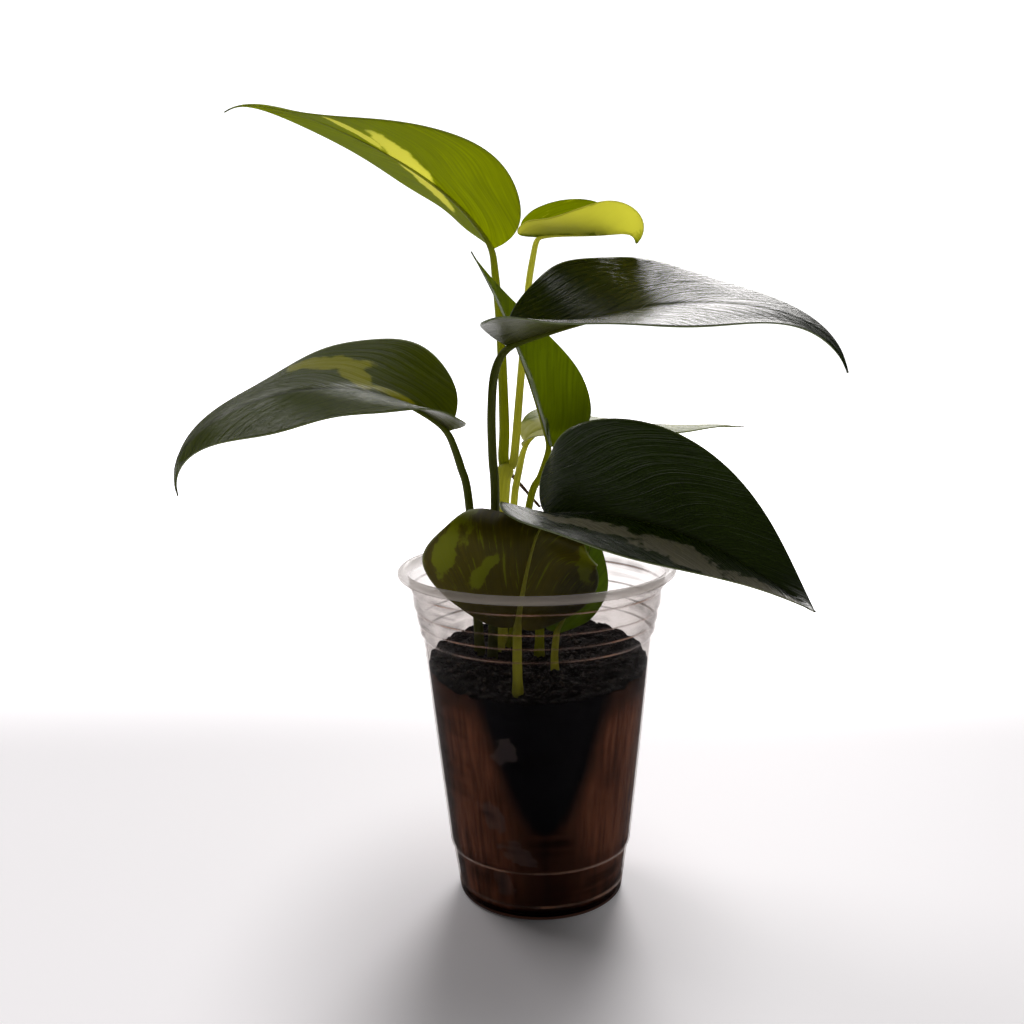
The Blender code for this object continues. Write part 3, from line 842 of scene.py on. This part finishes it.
def soil_height(x, y):
    """Height of the soil's surface: it slopes up to the back and is a little mounded."""
    mound = SOIL_MOUND * (1 - (x * x + y * y) / SOIL_MOUND_RADIUS ** 2)
    lumps = sum(height * math.sin(along_x * x + along_y * y + phase)
                for height, along_x, along_y, phase in SOIL_LUMPS)
    return SOIL_LEVEL + SOIL_SLOPE * y + mound + lumps


def rooted(foot, through):
    """A route that comes straight up out of the soil and goes on through its points."""
    x, y = foot
    level = soil_height(x, y)
    return [(x, y, level - STALK_DEPTH), (x, y, level)] + list(through)


print("soil at the middle:", round(soil_height(0, 0), 1), "mm")

# %% Stalk material
STALK_SHINE = 0.2
STALK_ROUGHNESS = (0.40, 0.55)


def stalk_material(name, skin, glow, through):
    """Fleshy skin with long pale fibres, a painted sheen where it is seen edge on, lit from behind."""
    material, tree = empty_material(name)
    flat = add_node(tree, "UVMap", uv_map="flat").outputs[0]
    parts = axes(tree, flat)
    turn = times(tree, parts["X"], math.tau)
    fibres = add_node(tree, "CombineXYZ",
                      {"X": times(tree, maths(tree, "COSINE", turn), 2.6),
                       "Y": times(tree, maths(tree, "SINE", turn), 2.6),
                       "Z": times(tree, parts["Y"], 4.0)})
    fibre = noise(tree, fibres.outputs[0], 1.6, detail=3.0)
    spots = noise(tree, flat, 40.0, detail=1.0)
    speck = remap(tree, spots, 0.74, 0.80)
    colour = blend(tree, fibre, scaled(skin, 0.55), scaled(skin, 1.35))
    # Painted sheen: the skin is painted paler where it is seen edge on.
    edge = add_node(tree, "LayerWeight", {"Blend": 0.35}).outputs["Facing"]
    colour = blend(tree, times(tree, edge, 0.6), colour, scaled(skin, 2.2))
    colour = blend(tree, times(tree, speck, 0.5), colour, scaled(skin, 0.25))
    lit = blend(tree, fibre, scaled(glow, 0.6), scaled(glow, 1.2))
    shader = skin_shader(tree, colour, remap(tree, fibre, 0.2, 0.8, *STALK_ROUGHNESS),
                         bumps(tree, 0.5, 0.0004, fibre), STALK_SHINE)
    passing = add_node(tree, "BsdfTranslucent", {"Color": lit})
    finish_material(tree, mix_shaders(tree, through, shader, passing))
    return material


STALK_SKINS = {
    "pale stalk": stalk_material("pale stalk", (0.28, 0.28, 0.050), (0.92, 0.92, 0.24), 0.62),
    "green stalk": stalk_material("green stalk", (0.17, 0.19, 0.016), (0.70, 0.74, 0.05), 0.50),
    "dark stalk": stalk_material("dark stalk", (0.070, 0.085, 0.005), (0.34, 0.38, 0.01), 0.34),
}
SKIN_OF_STALK = {
    "top_left": "green stalk", "top_small": "pale stalk", "right": "dark stalk",
    "upright": "green stalk", "left": "dark stalk", "front_right": "green stalk",
    "cup_front": "pale stalk", "back_right": "pale stalk", "cup_back": "pale stalk",
}
print("stalk skins:", list(STALK_SKINS))

# %% Tubes
TUBE_SIDES = 18


def frames_along(path, last_up):
    """For each point of a path, two directions across it, without twist."""
    up = last_up
    ups = []
    ahead = unit(np.gradient(path, axis=0))
    for direction in ahead[::-1]:
        up = unit(up - direction * up.dot(direction))
        ups.append(up)
    ups = np.array(ups[::-1])
    return ups, np.cross(ahead, ups)


def make_tube(name, path, radii, material, nodes=(), flatness=1.0,
              last_up=(0.3, 1.0, 0.1)):
    """A closed tube round a path, flattened along its up direction."""
    ups, across = frames_along(path, np.array(last_up))
    rows = len(path) - 1
    heights = radii * flatness
    along = np.concatenate([[0.0], np.cumsum(np.linalg.norm(np.diff(path, axis=0), axis=1))])

    def place(s, t):
        row = np.rint(t * rows).astype(int)
        angle = math.pi * s
        return (path[row] + across[row] * (np.cos(angle) * radii[row])[:, None]
                + ups[row] * (np.sin(angle) * heights[row])[:, None])

    def layout(s, t):
        return np.stack([(s + 1) / 2, along[np.rint(t * rows).astype(int)] / 100], axis=1)

    bm = bent_grid(TUBE_SIDES, rows, place, layout)
    bmesh.ops.remove_doubles(bm, verts=bm.verts, dist=0.01 * MM)
    bmesh.ops.holes_fill(bm, edges=[edge for edge in bm.edges if edge.is_boundary], sides=0)
    bmesh.ops.recalc_face_normals(bm, faces=bm.faces)
    return to_object(name, bm, [material], nodes)


# %% [markdown]
# The midrib part of each tube follows the blade's own midrib, a little below the upper face, and
# is flattened. Where the two meet, the route and the radius are smoothed, so that no kink shows. The
# stalk swells a little where it meets the soil.

# %% Stalks and midribs
STALK_ROWS = 60
MIDRIB_ROWS = 44
MIDRIB_END = 0.97
MIDRIB_TIP_RADIUS = 0.22
MIDRIB_FLATNESS = 0.72
FOOT_SWELL = 0.18
# Rows on each side of the place where stalk and midrib meet, over which one becomes the other.
JOIN_ROWS = 8


def midrib_path(name, base_radius):
    """Points under the midrib from the blade's base almost to its tip, and their radii."""
    blade = BLADES[name]
    share = np.linspace(0.0, MIDRIB_END, MIDRIB_ROWS)
    base, _, face, _ = blade.midrib_frame(share * blade.length)
    spread = 0.8 * base_radius - MIDRIB_TIP_RADIUS
    radii = MIDRIB_TIP_RADIUS + spread * (1 - share) ** 1.6
    return base - face * (0.15 + MIDRIB_FLATNESS * radii)[:, None], radii, face[-1]


def make_stalk(name):
    """A leaf stalk with the midrib that it runs on into."""
    petiole = PETIOLES[name]
    thick, thin = petiole["radii"]
    rib, rib_radii, last_face = midrib_path(name, thin)
    through = petiole["through"]
    route = rooted(petiole["foot"], through) if petiole["foot"] else through
    path, stations = smooth_path(route + [rib[0]], STALK_ROWS)
    share = stations / stations[-1]
    radii = thick + (thin - thick) * share
    swell = FOOT_SWELL * np.exp(-((stations - STALK_DEPTH) / 3.0) ** 2) if petiole["foot"] else 0
    radii = radii * (1 + swell)
    whole = np.concatenate([path, rib[1:]])
    all_radii = np.concatenate([radii, rib_radii[1:]])
    meet = len(path)
    for k in range(meet - 6, meet + 6):
        all_radii[k] = 0.5 * all_radii[k] + 0.25 * (all_radii[k - 1] + all_radii[k + 1])
    flat = np.concatenate([np.ones(meet - JOIN_ROWS), np.linspace(1, MIDRIB_FLATNESS, 2 * JOIN_ROWS),
                           np.full(len(whole) - meet - JOIN_ROWS, MIDRIB_FLATNESS)])
    for _ in range(4):
        near = slice(meet - 7, meet + 5)
        whole[near] = 0.5 * whole[near] + 0.25 * (whole[meet - 8:meet + 4] + whole[meet - 6:meet + 6])
    return make_tube("stalk_" + name, whole, all_radii, STALK_SKINS[SKIN_OF_STALK[name]],
                     ["petiole_" + name], flat, last_face)


for name in LEAVES:
    print("stalk", name, len(make_stalk(name).data.polygons), "faces")

# %% [markdown]
# ## The vine's own stem and root
#
# Two of the leaves come from a stem that stands up out of the soil behind the other stalks. It ends
# in a swollen node, where leaf stalks leave it and a thin brown root hangs down into the air.

# %% Stem, node and root
VINE_STEM = dict(foot=(-13.6, 2.6), through=[(-11.4, 2.2, 138), NODE_POINT], radii=(2.3, 2.6))
AERIAL_ROOT = [(-8.9, 5.0, 150), (-8.8, 10.5, 147.5), (-7.8, 14.5, 144.5), (-5.5, 17, 141.5),
               (-2.5, 19, 137.5), (1.5, 20.2, 132.5)]


def root_material():
    """Dry brown bark in short cracked lengths."""
    material, tree = empty_material("dry root")
    place = object_place(tree)
    bark = noise(tree, place, 900.0, detail=4.0, roughness=0.7)
    colour = blend(tree, bark, (0.035, 0.014, 0.007), (0.22, 0.10, 0.04))
    shader = skin_shader(tree, colour, remap(tree, bark, 0.2, 0.8, 0.6, 0.9),
                         bumps(tree, 0.8, 0.0004, bark))
    finish_material(tree, shader)
    return material


def make_stem():
    """The stem, with rings of old leaf scars and its swollen end."""
    path, stations = smooth_path(rooted(VINE_STEM["foot"], VINE_STEM["through"]), 90)
    thick, thin = VINE_STEM["radii"]
    radii = thick + (thin - thick) * stations / stations[-1]
    for scar, height in ((stations[-1] - 3.0, 0.14), (stations[-1] - 30.0, 0.08)):
        radii = radii * (1 + height * np.exp(-((stations - scar) / 1.6) ** 2))
    to_end = stations[-1] - stations
    radii = radii * np.sqrt(np.clip(to_end / 2.2, 0.02, 1.0))
    return make_tube("stem", path, radii, STALK_SKINS["pale stalk"], ["vine_stem"])


def make_root():
    """The aerial root, uneven and tapered."""
    path, stations = smooth_path(AERIAL_ROOT, 40)
    share = stations / stations[-1]
    radii = (0.8 - 0.3 * share) * (1 + 0.12 * np.sin(stations * 2.1) * np.sin(stations * 0.7))
    return make_tube("root", path, radii, root_material(), ["aerial_root"])


for piece in (make_stem(), make_root()):
    print(piece.name, len(piece.data.polygons), "faces")

# %% [markdown]
# ## The cup
#
# The cup is thin clear plastic, blown from one sheet: stacking steps under the rim, a tapered wall
# and a small step above the foot. Its lip is rolled. A turned profile gives all of that, as a closed
# wall with an inside and an outside and real thickness. The wall is so thin that light hardly bends
# in it, so its plastic is a clear tint that turns glossy where it is seen edge on. The lip is cloudy,
# and the ridges carry a painted orange-brown highlight.

# %% Cup design values
CUP_WALL = 0.6
CUP_SIDES = 160
CUP_OUTER = [
    (27.6, 0.0), (28.6, 0.8), (29.2, 5.0), (30.8, 16.5), (31.7, 18.5), (39.4, 92.5),
    (40.5, 94.2), (40.8, 97.2), (41.5, 98.8), (41.8, 101.8), (42.6, 103.6), (43.0, 108.6),
    (44.0, 110.4), (44.3, 112.6),
]
LIP_MIDDLE = (45.8, 114.5)
LIP_ROLL = (1.7, 1.5)
LIP_POINTS = 9


def turn_profile(profile, sides):
    """Spin a profile of (radius, height) points once round the Z axis into a closed shell."""
    bm = bmesh.new()
    verts = [bm.verts.new((radius * MM, 0.0, height * MM)) for radius, height in profile]
    edges = [bm.edges.new(pair) for pair in zip(verts, verts[1:])]
    bmesh.ops.spin(bm, geom=verts + edges, cent=(0, 0, 0), axis=(0, 0, 1), angle=math.tau,
                   steps=sides, use_merge=True, use_duplicate=False)
    bmesh.ops.remove_doubles(bm, verts=bm.verts, dist=0.005 * MM)
    bmesh.ops.recalc_face_normals(bm, faces=bm.faces)
    return bm


def rounded_profile(points, reach=0.5):
    """A profile whose corners are each replaced by a short three-point curve."""
    profile = [points[0]]
    for before, corner, after in zip(points, points[1:], points[2:]):
        corner = np.array(corner)
        leave, join = np.array(before) - corner, np.array(after) - corner
        reach_in = min(reach, 0.4 * np.linalg.norm(leave))
        reach_out = min(reach, 0.4 * np.linalg.norm(join))
        a = corner + unit(leave) * reach_in
        b = corner + unit(join) * reach_out
        profile += [tuple(a), tuple(0.25 * a + 0.5 * corner + 0.25 * b), tuple(b)]
    return profile + [points[-1]]


def inner_radius(height):
    """Radius of the cup's inside at a height."""
    heights = [point[1] for point in CUP_OUTER]
    return float(np.interp(height, heights, [point[0] - CUP_WALL for point in CUP_OUTER]))


print("inside of the cup at the soil:", round(inner_radius(SOIL_LEVEL), 1), "mm")

# %% Clear plastic
LIP_HEIGHTS = (0.1118, 0.1135)
# Each ridge that catches light: its height and half its width in millimetres.
RIDGES = [(18.3, 0.7), (5.2, 0.8), (92.9, 0.45), (97.6, 0.4), (102.4, 0.4), (109.2, 0.45)]
# Painted highlight: the orange-brown colour that the ridges are given.
RIDGE_HIGHLIGHT_COLOUR = (0.62, 0.30, 0.17)
CLEAR_TINT = (0.80, 0.785, 0.775)
CLOUDY_TINT = (0.60, 0.585, 0.575)
FOOT_TINT = (0.16, 0.10, 0.08)
# The share of gloss seen edge on, above the soil's wall and on it, and seen face on.
EDGE_GLOSS = (0.45, 0.12)
FACE_GLOSS = 0.025
LIP_CLOUD = 0.42
# How much of the ridges the painted highlight covers.
RIDGE_HIGHLIGHT_SHARE = 0.75


def clear_plastic():
    """Clear plastic with flow lines, cloudy in the thick rolled lip, with a painted highlight on its
    ridges.
    """
    material, tree = empty_material("clear plastic")
    place = object_place(tree)
    height = axes(tree, place)["Z"]
    bands = add_node(tree, "Mapping", {"Vector": place, "Scale": (22, 22, 420)})
    band = noise(tree, bands.outputs[0], 1.0, detail=2.0)
    broad = noise(tree, place, 55.0, detail=2.0)
    ridge = 0.0
    for level, half in RIDGES:
        off = maths(tree, "ABSOLUTE", maths(tree, "SUBTRACT", height, level * MM))
        ridge = maths(tree, "MAXIMUM", remap(tree, off, half * MM, half * MM * 0.3), ridge)
    ridge = times(tree, ridge, remap(tree, broad, 0.35, 0.65, 0.25, 0.75))
    lip = remap(tree, height, *LIP_HEIGHTS)
    below = remap(tree, height, 0.093, 0.090)
    flow = bumps(tree, 0.35, 0.0006, maths(tree, "MULTIPLY_ADD", broad, 2.0, band))
    cloudy = times(tree, remap(tree, broad, 0.45, 0.70), remap(tree, band, 0.35, 0.65))
    tint = blend(tree, cloudy, CLEAR_TINT, CLOUDY_TINT)
    tint = blend(tree, remap(tree, height, 0.0045, 0.0015), tint, FOOT_TINT)
    clear = add_node(tree, "BsdfTransparent", {"Color": tint})
    # The ridges' colour is a painted highlight.
    colour = blend(tree, ridge, blend(tree, lip, (0.06, 0.045, 0.04), (0.62, 0.55, 0.47)), RIDGE_HIGHLIGHT_COLOUR)
    surface = skin_shader(tree, colour, remap(tree, broad, 0.3, 0.7, 0.06, 0.14), flow)
    cloud = add_node(tree, "BsdfTranslucent", {"Color": (0.95, 0.92, 0.90, 1.0)})
    lit = mix_shaders(tree, times(tree, lip, 0.45), surface, cloud)
    facing = add_node(tree, "LayerWeight", {"Blend": 0.30}).outputs["Facing"]
    edge = remap(tree, below, 0.0, 1.0, *EDGE_GLOSS)
    share = maths(tree, "MULTIPLY_ADD", maths(tree, "POWER", facing, 2.0), edge, FACE_GLOSS)
    share = maths(tree, "MAXIMUM", share, times(tree, lip, LIP_CLOUD))
    share = maths(tree, "MAXIMUM", share, times(tree, ridge, RIDGE_HIGHLIGHT_SHARE))
    finish_material(tree, mix_shaders(tree, share, clear, lit))
    return material


def make_cup():
    """The thin-walled cup with its steps and rolled lip."""
    roll = [(LIP_MIDDLE[0] + LIP_ROLL[0] * math.sin(angle), LIP_MIDDLE[1] - LIP_ROLL[1] * math.cos(angle))
            for angle in np.linspace(0.15 * math.pi, 1.45 * math.pi, LIP_POINTS)]
    outer = rounded_profile(CUP_OUTER + [(LIP_MIDDLE[0] - 0.3, 112.9)])
    inner = rounded_profile([(radius - CUP_WALL, height) for radius, height in reversed(CUP_OUTER[2:])])
    floor = [(CUP_OUTER[1][0] - CUP_WALL, 2 * CUP_WALL), (CUP_OUTER[0][0] - CUP_WALL, CUP_WALL)]
    profile = [(0.0, 0.0)] + outer + roll + inner + floor + [(0.0, CUP_WALL)]
    return to_object("cup_shell", turn_profile(profile, CUP_SIDES), [clear_plastic()],
                     ["cup"])


print("cup faces:", len(make_cup().data.polygons))

# %% [markdown]
# ## The soil
#
# Potting soil is black, moist and granular. Its body is one turned plug that fills the cup, and
# loose grains lie all over its top. Through the plastic its side shows streaky brown, partly the
# soil's own colour and partly a painted reflection, with a black field of painted shade at the front
# and a few pale smudges.

# %% Soil material
# The side's streaky brown: partly the soil's own colour, partly a painted reflection.
SIDE_BROWN = (0.46, 0.165, 0.085)
SIDE_DARK_BROWN = (0.13, 0.045, 0.026)
# Where the side darkens: towards its edges and, as painted shade, towards the middle, as shares of the
# radius, and as painted shade at its top.
DARKER_EDGES = (0.86, 0.99)
SHADE_TOWARDS_MIDDLE = (0.60, 0.12)
SHADE_AT_TOP = (0.066, 0.078)
SHADE_BLACK = (0.0010, 0.0008, 0.0040)
# The black field of painted shade in front: its middle, its lowest point, and its half width at a
# height above that, all in metres.
SHADE_FIELD_MIDDLE = 0.0015
SHADE_FIELD_FOOT = 0.032
SHADE_FIELD_HALF = 0.0225
SHADE_FIELD_RISE = 0.047
# Each pale smudge on the wall, seen from in front: place, half sizes and turn, in mm and degrees.
SMUDGES = [(-11, 61, 4.0, 5.0, 0), (-16, 38, 3.5, 6.0, 20), (-8, 25, 7.0, 4.0, -20),
           (-13, 13, 3.5, 5.0, 10)]
SMUDGE_RAGGED = 2.6
SMUDGE_COLOUR = (0.24, 0.19, 0.19)
SMUDGE_SHARE = 0.35


def soil_side(tree, place, parts):
    """The colour of the soil's wall: streaky brown that is partly a painted reflection, a black field of
    painted shade, and smudges.
    """
    streaks = add_node(tree, "Mapping", {"Vector": place, "Scale": (420, 420, 14)})
    streak = noise(tree, streaks.outputs[0], 1.0, detail=3.0, roughness=0.6)
    broad = noise(tree, place, 45.0, detail=2.0)
    # Streaky brown, partly the soil's own and partly a painted reflection.
    brown = blend(tree, remap(tree, streak, 0.25, 0.75), SIDE_DARK_BROWN, SIDE_BROWN)
    brown = blend(tree, remap(tree, broad, 0.40, 0.80), brown, SIDE_DARK_BROWN)
    outwards = vector_maths(tree, "MULTIPLY", place, (1.0, 1.0, 0.0)).outputs[0]
    radius = vector_maths(tree, "LENGTH", outwards).outputs["Value"]
    aside = maths(tree, "ABSOLUTE", maths(tree, "SUBTRACT", parts["X"], SHADE_FIELD_MIDDLE))
    sideways = maths(tree, "DIVIDE", aside, radius)
    brown = blend(tree, remap(tree, sideways, *DARKER_EDGES), brown, scaled(SIDE_DARK_BROWN, 0.35))
    # Painted shade: the side is darker towards the middle and at its top.
    shaded = scaled(SIDE_DARK_BROWN, 0.6)
    brown = blend(tree, remap(tree, sideways, *SHADE_TOWARDS_MIDDLE), brown, shaded)
    brown = blend(tree, remap(tree, parts["Z"], *SHADE_AT_TOP), brown, shaded)
    rise = maths(tree, "MAXIMUM", maths(tree, "SUBTRACT", parts["Z"], SHADE_FIELD_FOOT), 0.0)
    half = maths(tree, "SQRT", maths(tree, "DIVIDE", rise, SHADE_FIELD_RISE))
    half = maths(tree, "MULTIPLY_ADD", half, SHADE_FIELD_HALF, times(tree, streak, 0.004))
    inside = maths(tree, "SUBTRACT", half, aside)
    # Painted shade: a black field on the front, lowest in the middle and widening upwards.
    painted_shade = times(tree, remap(tree, inside, -0.001, 0.006),
                  remap(tree, parts["Y"], -0.004, -0.010))
    side = blend(tree, painted_shade, brown, SHADE_BLACK)
    front = add_node(tree, "CombineXYZ",
                     {"X": times(tree, parts["X"], 10.0),
                      "Y": times(tree, parts["Z"], 10.0)}).outputs[0]
    in_front = remap(tree, parts["Y"], 0.0, -0.01, 0.0, SMUDGE_SHARE)
    for smudge in SMUDGES:
        mask = times(tree, patch_mask(tree, front, *smudge, SMUDGE_RAGGED), in_front)
        side = blend(tree, mask, side, SMUDGE_COLOUR)
    return side


def soil_material():
    """Black grains on top; on the side, streaky brown that is partly a painted reflection, and painted
    shade.
    """
    material, tree = empty_material("potting soil")
    place = object_place(tree)
    parts = axes(tree, place)
    grain = noise(tree, place, 700.0, detail=3.0, roughness=0.7)
    black = blend(tree, grain, (0.002, 0.002, 0.004), (0.014, 0.010, 0.010))
    normal = add_node(tree, "SeparateXYZ",
                      {0: add_node(tree, "TexCoord").outputs["Normal"]}).outputs["Z"]
    on_top = remap(tree, normal, 0.45, 0.75)
    colour = blend(tree, on_top, soil_side(tree, place, parts), black)
    shader = skin_shader(tree, colour, remap(tree, grain, 0.2, 0.8, 0.65, 0.95),
                         bumps(tree, 0.7, 0.0006, times(tree, grain, on_top)), shine=0.05)
    finish_material(tree, shader)
    return material


def grain_material():
    """Moist black crumbs with a dull shine and a few brown ones."""
    material, tree = empty_material("soil crumbs")
    place = object_place(tree)
    kind = noise(tree, place, 420.0, detail=0.0)
    pit = noise(tree, place, 2200.0, detail=2.0)
    colour = blend(tree, remap(tree, kind, 0.45, 0.72), (0.005, 0.004, 0.005), (0.050, 0.032, 0.026))
    shader = skin_shader(tree, colour, remap(tree, pit, 0.2, 0.8, 0.38, 0.75),
                         bumps(tree, 0.6, 0.0003, pit), shine=0.3)
    finish_material(tree, shader)
    return material


print("soil film:", SIDE_BROWN)

# %% Soil body
SOIL_SIDES = CUP_SIDES
SOIL_RINGS = 26
SOIL_WALL_GAP = 0.04
SOIL_FOOT_RADIUS = 26.6
SOIL_WALL_HEIGHTS = [2.0, 5.0, 16.5, 18.5, 30.0, 45.0, 60.0, 72.0, 79.0]
TOP_ROUGHNESS = 0.55


def make_soil():
    """The plug of soil with its uneven top."""
    bottom = CUP_WALL + SOIL_WALL_GAP
    wall = [(inner_radius(height) - SOIL_WALL_GAP, height) for height in SOIL_WALL_HEIGHTS]
    top_radius = inner_radius(SOIL_LEVEL) - SOIL_WALL_GAP
    rings = [(top_radius * (1 - k / SOIL_RINGS), SOIL_LEVEL) for k in range(SOIL_RINGS + 1)]
    bm = turn_profile([(0.0, bottom), (SOIL_FOOT_RADIUS, bottom)] + wall + rings, SOIL_SIDES)
    for vert in bm.verts:
        x, y, z = vert.co / MM
        if z < SOIL_LEVEL - 0.1:
            continue
        height = soil_height(x, y)
        radius = math.hypot(x, y)
        if radius > top_radius - 0.1:
            spread = (inner_radius(height) - SOIL_WALL_GAP) / radius
            x, y = x * spread, y * spread
        bumps = TOP_ROUGHNESS * math.sin(2.3 * x + 0.6 * y) * math.sin(1.9 * y - 0.8 * x)
        vert.co = Vector((x, y, height + bumps * (radius < top_radius - 0.1))) * MM
    return to_object("soil_body", bm, [soil_material()], ["soil"])


print("soil faces:", len(make_soil().data.polygons))

# %% Soil grains
GRAIN_COUNT = 2600
GRAIN_RADII = (0.38, 0.95)
GRAIN_SEED = 7


def make_grains():
    """Loose crumbs over the soil's top: small faceted balls, squashed and turned at random."""
    pick = random.Random(GRAIN_SEED)
    bm = bmesh.new()
    for _ in range(GRAIN_COUNT):
        size = pick.uniform(*GRAIN_RADII) * pick.uniform(0.7, 1.0)
        angle = pick.uniform(0, math.tau)
        radius = (inner_radius(SOIL_LEVEL) - size - 0.4) * math.sqrt(pick.random())
        x, y = radius * math.cos(angle), radius * math.sin(angle)
        z = soil_height(x, y) + pick.uniform(-0.1, 0.8) * size
        turn = Matrix.Rotation(pick.uniform(0, math.tau), 4, "Z") @ Matrix.Rotation(
            pick.uniform(-0.8, 0.8), 4, "X")
        squash = Matrix.Diagonal((pick.uniform(0.8, 1.4), pick.uniform(0.6, 1.0),
                                  pick.uniform(0.5, 0.9), 1.0))
        matrix = Matrix.Translation(Vector((x, y, z)) * MM) @ turn @ squash
        bmesh.ops.create_icosphere(bm, subdivisions=1, radius=size * MM, matrix=matrix)
    return to_object("soil_grains", bm, [grain_material()])


print("grain faces:", len(make_grains().data.polygons))
